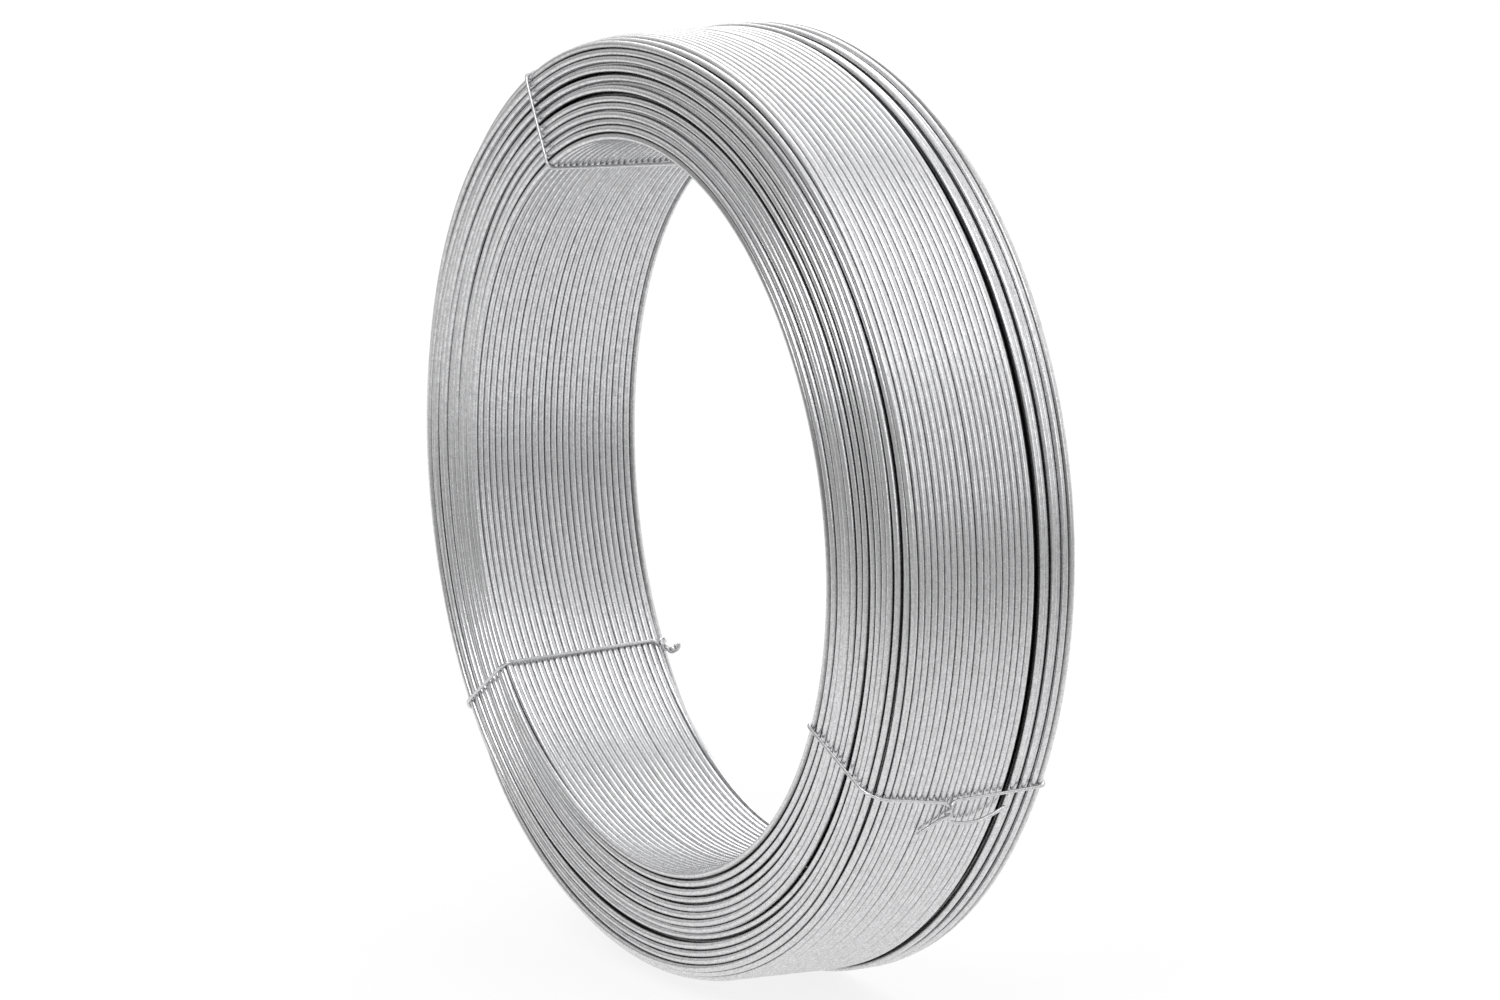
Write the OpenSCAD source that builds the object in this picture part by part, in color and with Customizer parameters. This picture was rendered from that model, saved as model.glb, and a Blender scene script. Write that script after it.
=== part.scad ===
// Coil of galvanised binding wire, held together by three tie wires.
// The coil stands on its rim. Its axis is Y, its centre is the origin, and +Z is up.
// Its near end faces -Y. Lengths are in millimetres.
// A place in the section is [radius, axial], and the section is turned about the axis.

/* [Wire] */
// Diameter of the coiled wire
wire_d = 1.8; // [1.2:0.1:3]
// Diameter of the tie wires
tie_d = 0.9; // [0.6:0.1:1.4]

/* [Winding] */
// Diameter of the bore, across the crests of the innermost turns
bore_d = 182; // [100:1:300]
// Layers of turns from the bore to the rim
layers = 18; // [8:1:26]
// Turns side by side in the innermost layer
bore_turns = 27; // [16:1:40]
// Gap between neighbouring turns of a layer
turn_gap = 0.02; // [0.01:0.01:0.1]
// Depth of the valleys between the turns, below their crests
valley_depth = 0.6; // [0.2:0.05:0.9]
// Half turns by which the rim steps in at the near end
near_steps = 5; // [1:1:7]
// Half turns by which the rim steps in at the far end
far_steps = 3; // [1:1:7]
// Turns of the rim's far group, beyond its groove
far_group = 5; // [2:1:8]
// Turns missing from the rim at the groove
groove_turns = 1; // [1:1:2]
// Height of the far group above the rest of the rim
far_group_rise = 0.5; // [0:0.1:0.8]

/* [Ties] */
// Place of the top tie round the coil, in degrees from +X towards +Z
top_tie_at = 118; // [100:1:140]
// Place of the left tie round the coil
left_tie_at = 217; // [200:1:240]
// Place of the right tie round the coil
right_tie_at = 335.5; // [310:0.5:350]
// Gap between a tie wire and the crests of the turns it crosses
tie_seat = 0.1; // [0.05:0.05:0.3]

/* [Knots] */
// Axial place of the knots on the rim
rim_knot_y = -2.2; // [-8:0.1:2]
// Distance of the knot in the bore from the last turn at the far end
bore_knot_inset = 1.5; // [0.5:0.1:4]
// Length in which the two ends of a tie twist once round each other
twist_pitch = 3.8; // [3.4:0.1:5]
// Gap between the two ends in a twist
twist_gap = 0.14; // [0.1:0.02:0.3]
// Length of the twist in a knot on the rim
twist_length = 4.6; // [3.5:0.1:8]
// Length of the top tie's two tails, past the twist
top_tail = 5; // [3:0.5:10]
// Length of the right tie's short tail
right_short_tail = 8.2; // [4:0.1:12]
// Length of the right tie's long tail, which lies along the rim
right_long_tail = 16; // [8:0.5:22]
// Size of the hooked twist in the bore
pigtail_size = 4.6; // [3:0.1:6]

/* [Hidden] */

rim_sides = 144;
tube_sides = 8;
crest_step = 30;
bend_step = 30;
spline_steps = 6;
tail_steps = 3;

pitch = wire_d + turn_gap;
layer_rise = pitch * sin(60);
bore_r = bore_d / 2;
half_width = (bore_turns - 1) * pitch / 2;
top_layer = layers - 1;
zinc = [0.78, 0.79, 0.80];
zinc_dull = [0.66, 0.67, 0.68];

// Half turns by which a layer starts in from the end of the coil. Each layer lies in the
// valleys of the one below it, so odd layers always lie an odd number of half turns in.
function inset(layer, steps) =
    let (wanted = layer - top_layer + steps)
    max(layer % 2, wanted + abs(wanted - layer) % 2);

function turns_in(layer) =
    bore_turns - (inset(layer, near_steps) + inset(layer, far_steps)) / 2;

function turn(layer, n) = [
    bore_r + wire_d / 2 + layer * layer_rise,
    (inset(layer, near_steps) / 2 + n) * pitch - half_width
];

// The turns that show, in order round the section
rim_turns = turns_in(top_layer);
near_group = rim_turns - far_group - groove_turns;
bore_line = [for (n = [0 : bore_turns - 1]) turn(0, n)];
far_face = [for (layer = [1 : top_layer - 1]) turn(layer, turns_in(layer) - 1)];
rim_far = [for (n = [1 : far_group]) turn(top_layer, rim_turns - n) + [far_group_rise, 0]];
groove_floor = [for (n = [0 : groove_turns])
    turn(top_layer, near_group + groove_turns - 0.5 - n) - [layer_rise, 0]];
rim_near = [for (n = [1 : near_group]) turn(top_layer, near_group - n)];
near_face = [for (n = [1 : top_layer - 1]) turn(top_layer - n, 0)];
outline = concat(bore_line, far_face, rim_far, groove_floor, rim_near, near_face);

// A unit vector, and the one square to it that points out of the section
function unit(v) = v / norm(v);
function outward(v) = unit([-v[1], v[0]]);

function heading(v) = atan2(v[1], v[0]);

// An arc in the section, from one direction through a sweep
function arc(centre, r, from, sweep, step) =
    let (steps = max(1, ceil(abs(sweep) / step)))
    [for (s = [0 : steps])
        let (a = from + sweep * s / steps)
        centre + r * [cos(a), sin(a)]];

// The turn from one direction to another round the section, which is drawn clockwise
function turned(from, to) = (to - from + 540) % 360 - 180;

// What shows of a turn between its two neighbours: its crest, down to the two valleys
valley_angle = acos(1 - valley_depth / (wire_d / 2));
function crest(before, at, after) =
    let (from = heading(outward(at - before)), to = heading(outward(after - at)))
    arc(at, wire_d / 2, from + valley_angle, turned(from, to) - 2 * valley_angle, crest_step);

// The next corner of a wire pulled tight round the outline, seen from the turn at p
function next_corner(p, best = 0, k = 0) =
    k == len(outline) ? best :
    let (side = cross(outline[best] - p, outline[k] - p),
         further = norm(outline[k] - p) > norm(outline[best] - p),
         better = norm(outline[best] - p) == 0 || side > 0.0001 ||
                  (side > -0.0001 && further))
    next_corner(p, better ? k : best, k + 1);

function corners_from(found) =
    let (next = next_corner(outline[found[len(found) - 1]]))
    next == found[0] ? found : corners_from(concat(found, [next]));

corners = [for (k = corners_from([0])) outline[k]];
function corner(k) = corners[(k + 2 * len(corners)) % len(corners)];

// Centre line of a tie, which lies on the crests and bends round each corner turn
tie_reach = (wire_d + tie_d) / 2 + tie_seat;
function bend(k) =
    let (from = heading(outward(corner(k) - corner(k - 1))),
         to = heading(outward(corner(k + 1) - corner(k))))
    arc(corner(k), tie_reach, from, turned(from, to), bend_step);

// Places in the section, carried round the coil to an angle
function round_coil(place, at) = [place[0] * cos(at), place[1], place[0] * sin(at)];

// A smooth line through points
function spline_point(p, k, t) =
    let (last = len(p) - 1, a = p[max(k - 1, 0)], b = p[k], c = p[k + 1], d = p[min(k + 2, last)])
    0.5 * ((2 * b) + (c - a) * t + (2 * a - 5 * b + 4 * c - d) * t * t
        + (3 * b - a - 3 * c + d) * t * t * t);
function spline(p, steps) = concat(
    [for (k = [0 : len(p) - 2]) for (s = [0 : steps - 1]) spline_point(p, k, s / steps)],
    [p[len(p) - 1]]);

// Directions square to a line, carried along it without twisting
function along(line, k) = unit(line[min(k + 1, len(line) - 1)] - line[max(k - 1, 0)]);
function carried(line, normal, k = 0, found = []) =
    k == len(line) ? found :
    let (t = along(line, k), n = unit(normal - t * (normal * t)))
    carried(line, n, k + 1, concat(found, [n]));

function reversed(line) = [for (k = [len(line) - 1 : -1 : 0]) line[k]];
function after_first(line) = [for (k = [1 : len(line) - 1]) line[k]];

// Distance along a line from its start to each of its points
function distances(line, k = 1, found = [0]) =
    k == len(line) ? found :
    distances(line, k + 1, concat(found, [found[k - 1] + norm(line[k] - line[k - 1])]));

// The link of the taut line that passes an axial place, on the rim or in the bore
function link_at(y, on_rim) = [
    for (k = [0 : len(corners) - 1])
        let (a = corner(k)[1], b = corner(k + 1)[1])
        if (on_rim ? a > y && b <= y : a <= y && b > y) k][0];

// A round wire along a line, with flat ends
module wire(line, d) {
    t0 = along(line, 0);
    start = abs(t0[1]) < 0.9 ? [0, 1, 0] : [1, 0, 0];
    normals = carried(line, start);
    rings = [for (k = [0 : len(line) - 1]) for (s = [0 : tube_sides - 1])
        let (n = normals[k], b = cross(along(line, k), n), a = s * 360 / tube_sides)
        line[k] + d / 2 * (n * cos(a) + b * sin(a))];
    walls = [for (k = [0 : len(line) - 2]) for (s = [0 : tube_sides - 1])
        let (a = k * tube_sides + s, b = k * tube_sides + (s + 1) % tube_sides)
        [a, a + tube_sides, b + tube_sides, b]];
    first = [for (s = [0 : tube_sides - 1]) s];
    last = [for (s = [tube_sides - 1 : -1 : 0]) (len(line) - 1) * tube_sides + s];
    polyhedron(rings, concat([first, last], walls), convexity = 8);
}

// A tie wire round the section. It is knotted at an axial place on the rim or in the bore:
// its ends turn off along the coil, twist round each other, and part into two tails.
// Places near the knot are [along the coil, off its surface, axial], measured from the knot.
twist_r = (tie_d + twist_gap) / 2;
module tie_wire(at, on_rim, knot_y, way, twist_axis, leaving_tail = [], arriving_tail = []) {
    link = link_at(knot_y, on_rim);
    from = corner(link);
    to = corner(link + 1);
    off = outward(to - from);
    knot = from + (to - from) * (knot_y - from[1]) / (to[1] - from[1]) + off * tie_reach;
    side = on_rim ? -1 : 1;
    function near_knot(p) =
        round_coil(knot + [-side * p[1], p[2]], at + way * p[0] / knot[0] * 180 / PI);
    axis = spline([for (p = twist_axis) near_knot(p + [0, twist_r, 0])], spline_steps);
    normals = carried(axis, [0, side, 0]);
    run = distances(axis);
    function strand(phase) = [
        for (k = [0 : len(axis) - 1])
            let (a = phase + run[k] * 360 / twist_pitch, b = cross(along(axis, k), normals[k]))
            axis[k] + twist_r * (normals[k] * cos(a) + b * sin(a))];
    function tail(from, places) = len(places) == 0 ? [] :
        after_first(spline(concat([from], [for (p = places) near_knot(p)]), tail_steps));
    function shank(s) = [
        near_knot([0, 0, s * tie_d * 2.6]),
        near_knot([tie_d * 0.15, twist_r * 0.3, s * tie_d * 1.4])
    ];
    leaving = strand(0);
    arriving = strand(180);
    loop = [for (k = [1 : len(corners)]) for (p = bend(link + k)) round_coil(p, at)];
    wire(concat(
        reversed(tail(leaving[len(leaving) - 1], leaving_tail)), reversed(leaving),
        reversed(shank(side)), loop, shank(-side),
        arriving, tail(arriving[len(arriving) - 1], arriving_tail)), tie_d);
}

module wire_coil() {
    turns = len(outline);
    color(zinc) rotate([-90, 0, 0]) rotate_extrude($fn = rim_sides)
        polygon([for (k = [0 : turns - 1])
            for (p = crest(outline[(k + turns - 1) % turns], outline[k], outline[(k + 1) % turns])) p]);
}

// A twist straight along the coil, leaning a share of its length along the axis, and the
// places of a tail past it, given as shares of the tail's length
function straight_twist(lean) = [for (s = [0.17, 0.57, 1]) twist_length * [s, 0, lean * s]];
function past(twist, length, shape) = [for (p = shape) twist[len(twist) - 1] + length * p];

module tie_wire_top() {
    twist = straight_twist(0);
    color(zinc_dull) tie_wire(top_tie_at, true, rim_knot_y, 1, twist,
        past(twist, top_tail, [[0.24, 0, -0.28], [0.6, 0, -0.8]]),
        past(twist, top_tail, [[0.26, 0, 0.3], [0.72, 0, 0.68]]));
}

module tie_wire_left() {
    hook = [[0.17, 0, 0], [0.57, 0.04, 0.3], [0.87, 0.2, 0.52], [1, 0.52, 0.63], [0.85, 0.87, 0.65]];
    color(zinc_dull) tie_wire(left_tie_at, false, half_width - bore_knot_inset, 1,
        [for (p = hook) pigtail_size * p]);
}

module tie_wire_right() {
    twist = straight_twist(0.09);
    color(zinc_dull) tie_wire(right_tie_at, true, rim_knot_y, -1, twist,
        past(twist, right_short_tail, [[0.13, 0.01, -0.2], [0.59, 0.02, -0.82]]),
        past(twist, right_long_tail,
            [[0.11, 0.01, 0.09], [0.17, 0.02, 0.26], [0.17, 0.04, 0.56], [0.06, 0.06, 0.79],
             [-0.07, 0.06, 0.99]]));
}

wire_coil();
tie_wire_top();
tie_wire_left();
tie_wire_right();
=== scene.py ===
# Coil of galvanised binding wire with three tie wires, dressed for a studio picture.
# The coil's axis is Y, its centre is the origin and it stands on its rim.
import math

import bpy
import numpy as np
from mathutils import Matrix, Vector


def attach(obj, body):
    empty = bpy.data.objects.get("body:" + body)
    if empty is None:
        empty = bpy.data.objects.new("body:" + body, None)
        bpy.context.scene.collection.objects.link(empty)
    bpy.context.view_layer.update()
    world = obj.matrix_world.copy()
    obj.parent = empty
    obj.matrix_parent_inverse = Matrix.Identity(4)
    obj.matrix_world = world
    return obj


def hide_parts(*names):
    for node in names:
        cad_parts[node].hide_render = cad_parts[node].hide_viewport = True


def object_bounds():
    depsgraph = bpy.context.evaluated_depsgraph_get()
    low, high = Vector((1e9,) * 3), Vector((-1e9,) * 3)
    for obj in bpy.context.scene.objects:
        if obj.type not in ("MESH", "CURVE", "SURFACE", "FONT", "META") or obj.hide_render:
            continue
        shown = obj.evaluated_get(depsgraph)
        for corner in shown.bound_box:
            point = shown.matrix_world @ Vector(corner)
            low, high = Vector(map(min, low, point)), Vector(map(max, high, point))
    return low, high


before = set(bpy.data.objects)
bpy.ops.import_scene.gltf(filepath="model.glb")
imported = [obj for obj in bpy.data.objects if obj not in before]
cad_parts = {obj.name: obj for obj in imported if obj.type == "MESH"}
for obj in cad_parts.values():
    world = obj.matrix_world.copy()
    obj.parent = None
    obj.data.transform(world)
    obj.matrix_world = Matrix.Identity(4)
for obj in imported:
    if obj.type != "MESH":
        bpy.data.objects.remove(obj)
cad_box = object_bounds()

# Sizes in millimetres, angles round the coil in degrees from +X towards +Z.
# A place in the section is (radius, axial).
MM = 0.001
WIRE_D = 1.8
TIE_D = 0.9
PITCH = WIRE_D + 0.02
UNDER_DEPTH = 1.65
BORE_R = 91.9
RIM_R = 118.7
BORE_TURNS = 27
FACE_TURNS = 13
NEAR_GROUP = 19
FAR_RISE = 0.5
GROOVE_HALF = 0.75

# The section's corners, where the turns bend from one side to the next: radius and axial
# place, then how far the hand-tied coil is out of round there, as cos and sin shares of one,
# two and three waves in the radius and of one wave in the axial place.
CORNERS = {
    "bore_near": (BORE_R, -23.73, -0.7, 0.6, -0.8, -1.0, 0.3, -0.1, -1.6, -0.9),
    "bore_far": (BORE_R, 23.73, 0.4, -0.1, -0.4, 0.1, 1.6, 0.4, -0.6, 0.3),
    "shoulder_far": (115.6, 23.9, 0.0, 0.0, 0.0, 0.0, 0.0, 0.0, 0.9, 0.2),
    "rim_far": (119.19, 22.27, -0.2, -0.4, 0.1, -0.7, -0.2, 1.1, 1.9, 0.1),
    "rim_near": (RIM_R, -20.57, 0.7, 0.1, 1.1, 0.1, 0.2, 0.6, -0.8, 0.0),
    "shoulder_near": (114.1, -23.93, -0.1, -0.4, -0.4, 0.1, 0.3, 0.5, 0.1, 0.3),
}
# Axial place of the groove in the rim, with cos and sin shares of one wave
GROOVE = (12.6, 1.7, -0.9)
# The far group's turns: share of the way from the groove to the rim's edge, and how deep
# each lies. The second and fourth are squeezed down between their neighbours.
FAR_GROUP = [(0.0, 0.0), (0.18, 0.8), (0.42, 0.0), (0.6, 0.75), (0.79, 0.0), (1.0, 0.1)]
# Turns of the near face that fall in behind the others at the top, counted from the rim
LOOSE_AT_TOP = (2, 5, 9)
# Angle at which every turn steps over to the next, and half the length of the step
STEP_AT = 228
STEP_HALF = 28

# The knots
RIM_KNOT_Y = -2.2
BORE_KNOT_Y = 22.16
TWIST_LENGTH = 4.6
TWIST_PITCH = 3.8
TWIST_GAP = 0.14

# The room: where it is bright, as a direction, and how grey its dark side is
BRIGHT_SIDE = (-0.2, 0.72, 0.66)
ROOM_GREY = 0.36
# Where the white paper under the coil fades out, on the right in X and in front in Y, in metres
PAPER_RIGHT = (0.15, 0.5)
PAPER_FRONT = (-0.25, -0.6)

# How finely the wires are drawn
SAMPLES = 216
WIRE_SIDES = 12
UNDER_SIDES = 6
TIE_SIDES = 12
# Width of the tucked ring at the end of a piece of wire, as a share of the wire's
TUCKED_SHARE = 0.97
angles = np.radians(STEP_AT) + np.arange(SAMPLES) * 2 * math.pi / SAMPLES
rng = np.random.default_rng(11)


# The winding, as closed turns with a place in the section for each angle

def corner(name):
    radius, axial, *waves = CORNERS[name]
    for k in (1, 2, 3):
        radius = radius + waves[2 * k - 2] * np.cos(k * angles) + waves[2 * k - 1] * np.sin(k * angles)
    axial = axial + waves[6] * np.cos(angles) + waves[7] * np.sin(angles)
    return np.stack([radius, axial], -1)


def wander(count, size, waves=4, fall=0.8):
    """Smooth noise round the coil, one row for each of count turns, of that rms size."""
    k = np.arange(1, waves + 1)
    strength = rng.normal(size=(count, waves)) / k**fall
    start = rng.uniform(0, 2 * math.pi, (count, waves))
    rows = (strength[..., None] * np.cos(k[:, None] * angles + start[..., None])).sum(1)
    return size * rows / np.sqrt((rows**2).mean(1, keepdims=True))


def hump(centre, half_width):
    """1 at an angle in degrees, falling smoothly to 0 at half_width to each side."""
    off = (np.degrees(angles) - centre + 180) % 360 - 180
    return np.where(np.abs(off) < half_width, 0.5 + 0.5 * np.cos(math.pi * off / half_width), 0)


def outward(turns):
    """The direction out of the section at each turn, square to the line of its neighbours."""
    along = np.roll(turns, -1, axis=0) - np.roll(turns, 1, axis=0)
    along /= np.linalg.norm(along, axis=-1, keepdims=True)
    return np.stack([-along[..., 1], along[..., 0]], -1)


def along_path(path, run, depth):
    """Turns along a bent line of corners, at these distances from its start and this deep."""
    legs = np.linalg.norm(np.diff(path, axis=0), axis=-1)
    ends = np.concatenate([np.zeros((1, SAMPLES)), np.cumsum(legs, axis=0)])
    turns = np.empty(run.shape + (2,))
    for s in range(SAMPLES):
        for c in (0, 1):
            turns[:, s, c] = np.interp(run[:, s], ends[:, s], path[:, s, c])
    along = np.gradient(turns, axis=0)
    along /= np.linalg.norm(along, axis=-1, keepdims=True)
    return turns - np.stack([-along[..., 1], along[..., 0]], -1) * depth[..., None]


def path_length(path):
    return np.linalg.norm(np.diff(path, axis=0), axis=-1).sum(0)


def face_spacing(count):
    """Shares of unlike size, a few of them gaps that open and close round the coil."""
    spacing = 1 + np.abs(wander(count, 0.2, waves=3))
    for k in rng.permutation(count)[:count // 3]:
        spacing[k] += 0.45 * hump(rng.uniform(0, 360), rng.uniform(90, 200))
    return spacing


def face_depth(count):
    """Every turn of a face lies at its own depth, and a few dive under their neighbours."""
    depth = 0.3 + wander(count, 0.25, waves=3)
    for k in rng.permutation(count)[:count // 3]:
        depth[k] += 0.6 * hump(rng.uniform(0, 360), rng.uniform(50, 100))
    return np.clip(depth, -0.1, 1.3)


bore_near, bore_far = corner("bore_near"), corner("bore_far")
rim_near, rim_far = corner("rim_near"), corner("rim_far")
shoulder_near, shoulder_far = corner("shoulder_near"), corner("shoulder_far")
# At the top the rim's near edge slopes gently down to the face and the bore is flattened.
# By the right tie the near edge is squarer, and below the left tie the bore's edge comes forward.
rim_near[:, 1] += 2.4 * hump(108, 50) - 1.0 * hump(335, 50)
bore_near[:, 0] -= 1.2 * hump(122, 60)
bore_near[:, 1] -= 1.3 * hump(225, 60)
shoulder_near[:, 0] += 2.2 * hump(108, 50) + 3.4 * hump(335, 50)
shoulder_near[:, 1] -= 0.5 * hump(335, 50)
groove = GROOVE[0] + GROOVE[1] * np.cos(angles) + GROOVE[2] * np.sin(angles)
groove_half = GROOVE_HALF - 0.55 * hump(125, 110)


def bore_row():
    share = np.cumsum(1 + wander(BORE_TURNS, 0.03), axis=0)
    share = ((share - share[0]) / (share[-1] - share[0]))[..., None]
    turns = bore_near + (bore_far - bore_near) * share
    turns[..., 0] += wander(BORE_TURNS, 0.06)
    return turns


def far_face_row():
    path = np.stack([bore_far, shoulder_far, rim_far])
    spacing = face_spacing(FACE_TURNS + 1)
    run = np.cumsum(spacing, axis=0)
    run = run[:-1] / run[-1] * path_length(path)
    return along_path(path, run, face_depth(FACE_TURNS))


def far_group_row():
    first = groove + groove_half + WIRE_D / 2
    turns = []
    for share, depth in reversed(FAR_GROUP):
        axial = first + (rim_far[:, 1] - first) * share
        turns.append(np.stack([rim_far[:, 0] - depth, axial], -1))
    turns = np.stack(turns)
    turns[..., 0] += wander(len(turns), 0.06)
    return turns


def near_side_row():
    """The rim's near group, from the groove to its edge, and the near face, to the bore."""
    start = groove - groove_half - WIRE_D / 2
    share = (start - rim_near[:, 1]) / (rim_far[:, 1] - rim_near[:, 1])
    radius = rim_near[:, 0] + share * (rim_far[:, 0] - FAR_RISE - rim_near[:, 0])
    path = np.stack([np.stack([radius, start], -1), rim_near, shoulder_near, bore_near])
    rim_spacing = PITCH + np.abs(wander(NEAR_GROUP - 1, 0.04))
    rim_spacing[-1] += 0.15
    face, face_in = face_spacing(FACE_TURNS + 1), face_depth(FACE_TURNS)
    face_in[-1] = 0
    for k in LOOSE_AT_TOP:
        face[k:k + 2] *= 1 - 0.5 * hump(108, 75)
        face_in[k] += 1.4 * hump(108, 75)
    face *= (path_length(path) - rim_spacing.sum(0)) / face.sum(0)
    run = np.cumsum(np.concatenate([np.zeros((1, SAMPLES)), rim_spacing, face]), axis=0)
    depth = np.concatenate([wander(NEAR_GROUP, 0.06), face_in])
    return along_path(path, run[:-1], depth)


def stepped(turns):
    """Closed turns made one wire, which steps from each turn over to the next."""
    off = (np.degrees(angles) - STEP_AT + 180) % 360 - 180
    share = 0.5 - 0.5 * np.clip(np.abs(off) / STEP_HALF, 0, 1)
    share = 2 * share**2
    after_step = (off >= 0)[:, None]
    share = share[:, None]
    before, after = np.roll(turns, 1, axis=0), np.roll(turns, -1, axis=0)
    return turns + share * np.where(after_step, before - turns, after - turns)


def settle(turns, rounds=120):
    """Pushes the wire's turns apart until none cuts into another, and keeps it smooth."""
    wire = turns.reshape(-1, 2)
    home = wire.copy()
    for _ in range(rounds):
        wire = wire + 0.04 * (home - wire)
        for reach in (1, 2):
            apart = np.roll(wire, -reach * SAMPLES, axis=0) - wire
            gap = np.linalg.norm(apart, axis=-1, keepdims=True)
            push = 0.25 * np.clip(WIRE_D - gap, 0, None) * apart / np.maximum(gap, 1e-6)
            wire = wire - push + np.roll(push, reach * SAMPLES, axis=0)
        wire = 0.5 * wire + 0.25 * (np.roll(wire, 1, axis=0) + np.roll(wire, -1, axis=0))
    return wire.reshape(turns.shape)


rows = {"turns_bore": bore_row(), "turns_far_face": far_face_row(),
        "turns_rim_far": far_group_row(), "turns_near": near_side_row()}
skin = settle(stepped(np.concatenate(list(rows.values()))))
lowest = ((skin[..., 0] + WIRE_D / 2) * np.sin(angles)).min()
lift = cad_box[0].z / MM - lowest


# Meshes

def mesh_piece(name, points, faces, material, replaces, crest=None):
    """A closed mesh. Crest is 1 where a point is on the outside of the winding, -1 inside; the zinc
    materials paint shade into the valleys from it.
    """
    mesh = bpy.data.meshes.new(name)
    mesh.from_pydata((np.asarray(points) * MM).tolist(), [], faces)
    mesh.polygons.foreach_set("use_smooth", [True] * len(mesh.polygons))
    shade = mesh.attributes.new("crest", "FLOAT", "POINT")
    shade.data.foreach_set("value", np.ones(len(mesh.vertices)) if crest is None else crest)
    mesh.materials.append(material)
    mesh.update()
    piece = bpy.data.objects.new(name, mesh)
    bpy.context.scene.collection.objects.link(piece)
    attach(piece, "root")
    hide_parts(*replaces)
    return piece


def round_coil(section, angle):
    """Carries places in the section round the coil to their angles."""
    radius, axial = section[..., 0], section[..., 1]
    return np.stack([radius * np.cos(angle), axial, radius * np.sin(angle) + lift], -1)


def tube_faces(rings, sides):
    """Quads round a tube of rings of points, and its two end caps."""
    index = np.arange(rings * sides).reshape(rings, sides)
    turned = np.roll(index, -1, axis=1)
    quads = np.stack([index[:-1], turned[:-1], turned[1:], index[1:]], -1).reshape(-1, 4)
    return quads.tolist() + [index[0][::-1].tolist(), index[-1].tolist()]


def wire_between(turns, first, last, sides, every=1):
    """The wire from one turn to another, and how far out in the winding each point lies.

    It has one more ring at each end, which is tucked into the piece of wire that joins it."""
    line = turns.reshape(-1, 2)
    out = outward(turns).reshape(-1, 2)
    pick = np.arange(first * SAMPLES - every, last * SAMPLES + every + 1, every)
    centre, out, angle = line[pick % len(line)], out[pick % len(line)], angles[pick % SAMPLES]
    around = np.arange(sides) * 2 * math.pi / sides
    circle = np.stack([np.cos(around), np.sin(around)], -1)
    radius = np.full((len(pick), 1, 1), WIRE_D / 2)
    radius[[0, -1]] *= TUCKED_SHARE
    section = centre[:, None] + radius * circle
    points = round_coil(section, angle[:, None])
    # Crest also sets the painted shade that the zinc materials put in the valleys.
    crest = out @ circle.T
    return points.reshape(-1, 3), tube_faces(len(pick), sides), crest.ravel()


def line_tube(line, diameter, sides):
    """A round wire along an open line, with closed ends."""
    line = np.asarray(line, float)
    along = np.gradient(line, axis=0)
    along /= np.linalg.norm(along, axis=1, keepdims=True)
    normal = np.cross(along[0], [0.3, 0.8, 0.5])
    points = []
    around = np.arange(sides) * 2 * math.pi / sides
    for centre, t in zip(line, along):
        normal = normal - t * normal.dot(t)
        normal /= np.linalg.norm(normal)
        side = np.cross(t, normal)
        points.append(centre + diameter / 2 * (np.outer(np.cos(around), normal)
                                               + np.outer(np.sin(around), side)))
    return np.concatenate(points), tube_faces(len(line), sides)


# Materials

class Shader:
    """Short names for adding nodes to a material or a world."""

    def __init__(self, tree):
        self.tree = tree

    def node(self, kind, inputs=(), **settings):
        node = self.tree.nodes.new("ShaderNode" + kind)
        for name, value in settings.items():
            setattr(node, name, value)
        for name, value in dict(inputs).items():
            if isinstance(value, bpy.types.NodeSocket):
                self.tree.links.new(value, node.inputs[name])
            else:
                node.inputs[name].default_value = value
        return node


def along_the_wire(shader, long_scale, cross_scale):
    """A place whose features come out long along the wire and short across it."""
    place = shader.node("TexCoord").outputs["Object"]
    xyz = shader.node("SeparateXYZ", {"Vector": place}).outputs
    flat = shader.node("CombineXYZ", {"X": xyz["X"], "Z": xyz["Z"]}).outputs["Vector"]
    radius = shader.node("VectorMath", {0: flat}, operation="LENGTH").outputs["Value"]
    way = shader.node("VectorMath", {0: flat}, operation="NORMALIZE").outputs["Vector"]
    around = shader.node("VectorMath", {0: way, "Scale": long_scale}, operation="SCALE")
    across = shader.node("Math", {0: radius, 1: 1.3, 2: xyz["Y"]}, operation="MULTIPLY_ADD")
    spread = shader.node("Math", {0: across.outputs[0], 1: cross_scale}, operation="MULTIPLY")
    sideways = shader.node("CombineXYZ", {"Y": spread.outputs[0]}).outputs["Vector"]
    return shader.node("VectorMath", {0: around.outputs["Vector"], 1: sideways}).outputs["Vector"]


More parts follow.
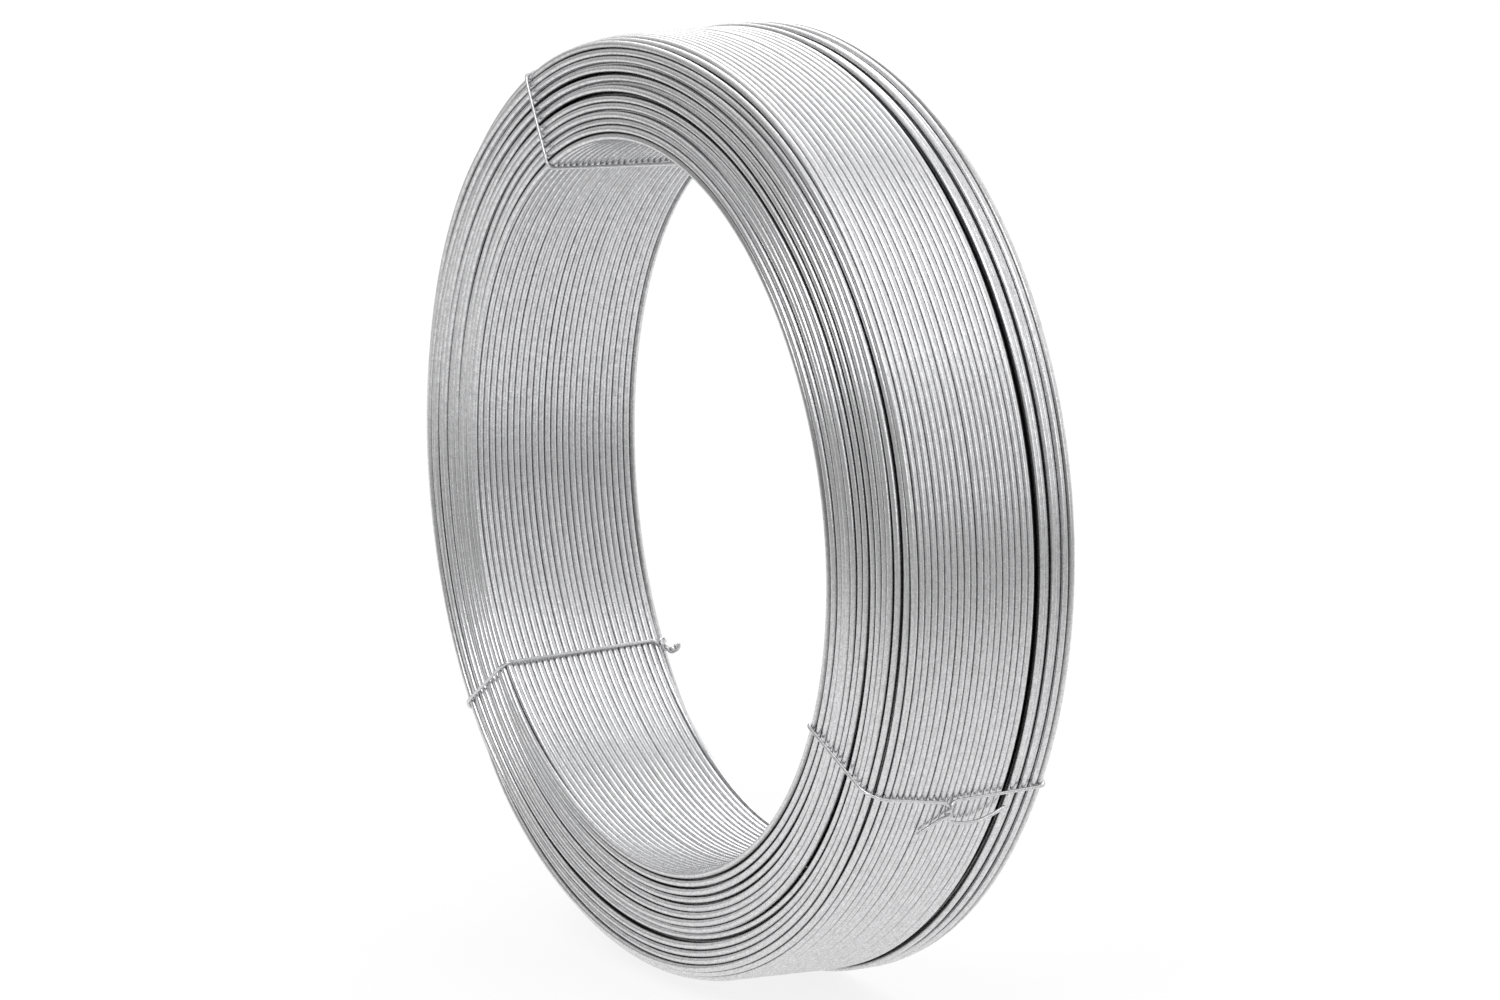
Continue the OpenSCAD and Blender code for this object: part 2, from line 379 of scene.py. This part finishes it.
def zinc(name, colour, roughness, valley_shade=0.5):
    """Galvanised wire: fine flecks and streaks, and painted shade that darkens its colour down in the
    valleys between turns.
    """
    material = bpy.data.materials.new(name)
    material.use_nodes = True
    shader = Shader(material.node_tree)
    metal = material.node_tree.nodes["Principled BSDF"]
    metal.inputs["Metallic"].default_value = 1.0
    link = material.node_tree.links.new

    place = shader.node("TexCoord").outputs["Object"]
    fleck = shader.node("TexNoise", {"Vector": place, "Scale": 2000, "Detail": 2}).outputs["Fac"]
    streak = shader.node("TexNoise", {"Vector": along_the_wire(shader, 55, 2600), "Scale": 1.0,
                                      "Detail": 3}).outputs["Fac"]
    mottle = shader.node("Mix", {"Factor": 0.45, 2: fleck, 3: streak}).outputs[0]
    # Painted shade: the colour is darkened where the wire faces into the valleys between turns, as set
    # by the crest attribute.
    crest = shader.node("Attribute", attribute_name="crest").outputs["Fac"]
    painted_valley_shade = shader.node("MapRange", {"Value": crest, "From Min": -0.1, "From Max": 0.7,
                                       "To Min": valley_shade, "To Max": 1.0},
                          interpolation_type="SMOOTHSTEP").outputs["Result"]
    tone = shader.node("MapRange", {"Value": mottle, "From Min": 0.38, "From Max": 0.62,
                                    "To Min": 0.76, "To Max": 1.1}).outputs["Result"]
    light = shader.node("Math", {0: tone, 1: painted_valley_shade}, operation="MULTIPLY").outputs[0]
    shade = shader.node("VectorMath", {0: colour, "Scale": light}, operation="SCALE")
    link(shade.outputs["Vector"], metal.inputs["Base Color"])
    rough = shader.node("MapRange", {"Value": mottle, "From Min": 0.3, "From Max": 0.7,
                                     "To Min": roughness + 0.1, "To Max": roughness - 0.06})
    link(rough.outputs["Result"], metal.inputs["Roughness"])
    bump = shader.node("Bump", {"Strength": 0.2, "Distance": 0.00008, "Height": mottle})
    link(bump.outputs["Normal"], metal.inputs["Normal"])
    return material


coil_zinc = zinc("coil_zinc", (0.76, 0.76, 0.77), 0.27)
# Painted shade: a darker, duller copy of the zinc for the layer under the skin, which is the same
# metal drawn darker because it lies deep in the winding.
painted_shade_inner_zinc = zinc("painted_shade_inner_zinc", (0.36, 0.36, 0.37), 0.5)
tie_zinc = zinc("tie_zinc", (0.72, 0.72, 0.73), 0.3)


def add_coil():
    first = 0
    for name, row in rows.items():
        last = first + len(row)
        points, faces, crest = wire_between(skin, first, last, WIRE_SIDES)
        mesh_piece(name, points, faces, coil_zinc, ["wire_coil"], crest)
        first = last
    under = (skin + np.roll(skin, -1, axis=0)) / 2 - outward(skin) * UNDER_DEPTH
    points, faces, crest = wire_between(under, 0, len(under), UNDER_SIDES, every=2)
    # The layer under the skin gets the darker zinc copy, which paints shade into the depths of the
    # winding.
    mesh_piece("turns_under", points, faces, painted_shade_inner_zinc, ["wire_coil"], crest)


add_coil()


# The ties

def taut_corners(section):
    """The turns that a wire pulled tight round the section bends at, in order."""
    order = [int(np.lexsort((section[:, 1], section[:, 0]))[0])]
    while True:
        here = section[order[-1]]
        best = None
        for k in range(len(section)):
            if k == order[-1]:
                continue
            if best is None:
                best = k
                continue
            a, b = section[best] - here, section[k] - here
            side = a[0] * b[1] - a[1] * b[0]
            if side > 1e-6 or (abs(side) <= 1e-6 and b.dot(b) > a.dot(a)):
                best = k
        if best == order[0]:
            return section[order]
        order.append(best)


def tie_loop(at, knot_y, on_rim):
    """Where a tie's knot lies, and the tie's way round the section from there back to it."""
    sample = int(round((at - STEP_AT) / 360 * SAMPLES)) % SAMPLES
    corners = taut_corners(skin[:, sample])
    reach = (WIRE_D + TIE_D) / 2 + 0.02
    line = []
    for k in range(len(corners)):
        before, here, after = corners[k - 1], corners[k], corners[(k + 1) % len(corners)]
        a = math.atan2(here[0] - before[0], -(here[1] - before[1]))
        b = math.atan2(after[0] - here[0], -(after[1] - here[1]))
        sweep = (b - a + 3 * math.pi) % (2 * math.pi) - math.pi
        steps = max(1, math.ceil(abs(sweep) / 0.25))
        for s in range(steps + 1):
            angle = a + sweep * s / steps
            line.append(here + reach * np.array([math.cos(angle), math.sin(angle)]))
    for k in range(len(line)):
        a, b = line[k], line[(k + 1) % len(line)]
        crosses = (a[1] > knot_y >= b[1]) if on_rim else (a[1] <= knot_y < b[1])
        if crosses:
            knot = a + (b - a) * (knot_y - a[1]) / (b[1] - a[1])
            return knot, np.roll(line, -(k + 1), axis=0)


def smooth_line(points, spacing):
    """A smooth line through points, with a point at about every spacing."""
    p = np.asarray(points, float)
    p = np.concatenate([[2 * p[0] - p[1]], p, [2 * p[-1] - p[-2]]])
    out = []
    for a, b, c, d in zip(p, p[1:], p[2:], p[3:]):
        steps = max(2, int(np.linalg.norm(c - b) / spacing))
        t = (np.arange(steps) / steps)[:, None]
        out.append(0.5 * (2 * b + (c - a) * t + (2 * a - 5 * b + 4 * c - d) * t**2
                          + (3 * b - a - 3 * c + d) * t**3))
    return np.concatenate(out + [p[-2:-1]])


def tie_wire(name, node, at, on_rim, knot_y, way, twist, leaving_tail=(), arriving_tail=(),
             pulled=0, skew=0):
    """A tie wire with its knot. Places near the knot are (along the coil, off it, axial).

    In degrees round the coil, pulled is how far the knot and the rim beyond it are drawn,
    and skew how far the tie's far end in the bore lies from its near end."""
    knot, loop = tie_loop(at, knot_y, on_rim)
    near_edge = CORNERS["shoulder_near"][1]

    def angle_at(place):
        outer = np.clip((place[..., 0] - BORE_R) / (RIM_R - BORE_R), 0, 1)
        from_edge = place[..., 1] - near_edge
        past_edge = np.clip(from_edge / (knot_y - near_edge), 0, 1)
        across = np.clip(from_edge / (-2 * near_edge), 0, 1)
        return np.radians(at + pulled * outer * past_edge + skew * (1 - outer) * across)

    angle = angle_at(knot)
    side = -1 if on_rim else 1
    twist_r = (TIE_D + TWIST_GAP) / 2

    def near_knot(p):
        section = knot + np.array([-side * p[1], p[2]])
        return round_coil(section, angle + way * p[0] / knot[0])

    axis = smooth_line([near_knot((p[0], p[1] + twist_r, p[2])) for p in twist], 0.25)
    run = np.concatenate([[0], np.cumsum(np.linalg.norm(np.diff(axis, axis=0), axis=1))])
    along = np.gradient(axis, axis=0)
    along /= np.linalg.norm(along, axis=1, keepdims=True)
    normal = np.array([0.0, side, 0.0])
    frames = []
    for t in along:
        normal = normal - t * normal.dot(t)
        normal /= np.linalg.norm(normal)
        frames.append((normal, np.cross(t, normal)))

    def strand(phase):
        turn = phase + run * 2 * math.pi / TWIST_PITCH
        return np.array([c + twist_r * (n * math.cos(a) + b * math.sin(a))
                         for c, (n, b), a in zip(axis, frames, turn)])

    def with_tail(line, tail):
        if not len(tail):
            return line
        end = smooth_line([line[-1]] + [near_knot(p) for p in tail], 0.5)
        return np.concatenate([line, end[1:]])

    def shank(s):
        return [near_knot((0, 0, s * TIE_D * 2.6)),
                near_knot((TIE_D * 0.15, twist_r * 0.3, s * TIE_D * 1.4))]

    leaving = with_tail(strand(0), leaving_tail)
    arriving = with_tail(strand(math.pi), arriving_tail)
    round_section = round_coil(loop, angle_at(loop))
    line = np.concatenate([leaving[::-1], shank(side)[::-1], round_section, shank(-side),
                           arriving])
    points, faces = line_tube(line, TIE_D, TIE_SIDES)
    mesh_piece(name, points, faces, tie_zinc, [node])


def straight_twist(lean):
    return [np.array([s, 0, lean * s]) * TWIST_LENGTH for s in (0.17, 0.57, 1)]


def past(twist, length, shape):
    """A tail past a twist, its places given as shares of its length."""
    return [twist[-1] + length * np.array(p) for p in shape]


def add_ties():
    straight, leaning = straight_twist(0), straight_twist(0.09)
    hook = [(0.17, 0, 0), (0.57, 0.04, 0.3), (0.87, 0.2, 0.52), (1, 0.52, 0.63), (0.85, 0.87, 0.65)]
    tie_wire("tie_top", "tie_wire_top", 119.4, True, RIM_KNOT_Y, 1, straight,
             past(straight, 5, [(0.24, 0, -0.28), (0.6, 0, -0.8)]),
             past(straight, 5, [(0.26, 0, 0.3), (0.72, 0, 0.68)]), skew=3.5)
    tie_wire("tie_left", "tie_wire_left", 217, False, BORE_KNOT_Y, 1,
             [4.6 * np.array(p) for p in hook], skew=-0.7)
    tie_wire("tie_right", "tie_wire_right", 335.5, True, RIM_KNOT_Y, -1, leaning,
             past(leaning, 8.2, [(0.13, 0.01, -0.2), (0.59, 0.02, -0.82)]),
             past(leaning, 16, [(0.11, 0.01, 0.09), (0.17, 0.02, 0.26), (0.17, 0.04, 0.56),
                                (0.06, 0.06, 0.79), (-0.07, 0.06, 0.99)]), pulled=-2.0)


add_ties()


# Studio

def add_camera():
    """The photograph's viewpoint, in a frame 1500 pixels wide."""
    azimuth, elevation = math.radians(59.2), math.radians(11.86)
    distance = 1.5
    focal_px = 5971.2
    centre_px = (725.37, 499.41 + 3.9 * lift)
    back = Vector((math.sin(azimuth) * math.cos(elevation),
                   -math.cos(azimuth) * math.cos(elevation), math.sin(elevation)))
    data = bpy.data.cameras.new("camera")
    data.sensor_width = 36
    data.lens = focal_px / 1500 * 36
    data.shift_x = (750 - centre_px[0]) / 1500
    data.shift_y = (centre_px[1] - 500) / 1500
    camera = bpy.data.objects.new("camera", data)
    camera.location = back * distance
    camera.rotation_mode = "QUATERNION"
    camera.rotation_quaternion = (-back).to_track_quat("-Z", "Y")
    bpy.context.scene.collection.objects.link(camera)
    bpy.context.scene.camera = camera


def add_lamp(name, location, size, power):
    data = bpy.data.lights.new(name, "AREA")
    data.shape = "RECTANGLE"
    data.size, data.size_y = size
    data.energy = power
    lamp = bpy.data.objects.new(name, data)
    lamp.location = location
    lamp.rotation_mode = "QUATERNION"
    lamp.rotation_quaternion = (-Vector(location)).to_track_quat("-Z", "Y")
    bpy.context.scene.collection.objects.link(lamp)


def add_floor():
    """White paper: mostly its own white where it is seen or reflected, and it keeps a shadow."""
    bottom = cad_box[0].z
    size = 6
    mesh = bpy.data.meshes.new("floor")
    mesh.from_pydata([(-size, -size, bottom), (size, -size, bottom), (size, size, bottom),
                      (-size, size, bottom)], [], [(0, 1, 2, 3)])
    floor = bpy.data.objects.new("floor", mesh)
    bpy.context.scene.collection.objects.link(floor)
    material = bpy.data.materials.new("floor_white")
    material.use_nodes = True
    shader = Shader(material.node_tree)
    paper = material.node_tree.nodes["Principled BSDF"]
    paper.inputs["Base Color"].default_value = (0.92, 0.92, 0.92, 1)
    paper.inputs["Roughness"].default_value = 0.9
    paper.inputs["Specular IOR Level"].default_value = 0.1
    rays = shader.node("LightPath").outputs
    seen = shader.node("Math", {0: rays["Is Camera Ray"], 1: rays["Is Glossy Ray"]},
                       operation="MAXIMUM").outputs[0]
    share = shader.node("Math", {0: seen, 1: 0.82}, operation="MULTIPLY").outputs[0]
    place = shader.node("NewGeometry").outputs["Position"]
    xyz = shader.node("SeparateXYZ", {"Vector": place}).outputs

    def fade(along, ends):
        return shader.node("MapRange", {"Value": along, "From Min": ends[0], "From Max": ends[1],
                                        "To Min": 1.0, "To Max": ROOM_GREY}).outputs["Result"]

    edge = shader.node("Math", {0: fade(xyz["X"], PAPER_RIGHT), 1: fade(xyz["Y"], PAPER_FRONT)},
                       operation="MINIMUM").outputs[0]
    strength = shader.node("Mix", {"Factor": rays["Is Camera Ray"], 2: edge, 3: 1.0}).outputs[0]
    white = shader.node("Emission", {"Strength": strength})
    mix = shader.node("MixShader", {0: share, 1: paper.outputs["BSDF"],
                                    2: white.outputs["Emission"]})
    output = material.node_tree.nodes["Material Output"]
    material.node_tree.links.new(mix.outputs["Shader"], output.inputs["Surface"])
    mesh.materials.append(material)


def add_world():
    """White where the camera sees it. It is white above and behind the coil, and grey in front."""
    world = bpy.data.worlds.new("world")
    bpy.context.scene.world = world
    world.use_nodes = True
    shader = Shader(world.node_tree)
    way = shader.node("TexCoord").outputs["Generated"]
    toward = shader.node("VectorMath", {0: way, 1: BRIGHT_SIDE}, operation="DOT_PRODUCT")
    room = shader.node("MapRange", {"Value": toward.outputs["Value"], "From Min": -0.35,
                                    "From Max": 0.8, "To Min": ROOM_GREY, "To Max": 1.0},
                       interpolation_type="SMOOTHSTEP").outputs["Result"]
    camera_ray = shader.node("LightPath").outputs["Is Camera Ray"]
    strength = shader.node("Mix", {"Factor": camera_ray, 2: room, 3: 1.0}).outputs[0]
    background = world.node_tree.nodes["Background"]
    background.inputs["Color"].default_value = (1, 1, 1, 1)
    world.node_tree.links.new(strength, background.inputs["Strength"])


add_camera()
add_floor()
add_world()
add_lamp("key", (0.8, -1.6, 1.8), (1.4, 1.4), 22)
add_lamp("fill", (1.9, -0.3, 0.8), (1.0, 1.6), 6)
add_lamp("top", (-1.3, 1.0, 1.4), (1.6, 1.6), 14)
bpy.context.scene.view_settings.view_transform = "Standard"
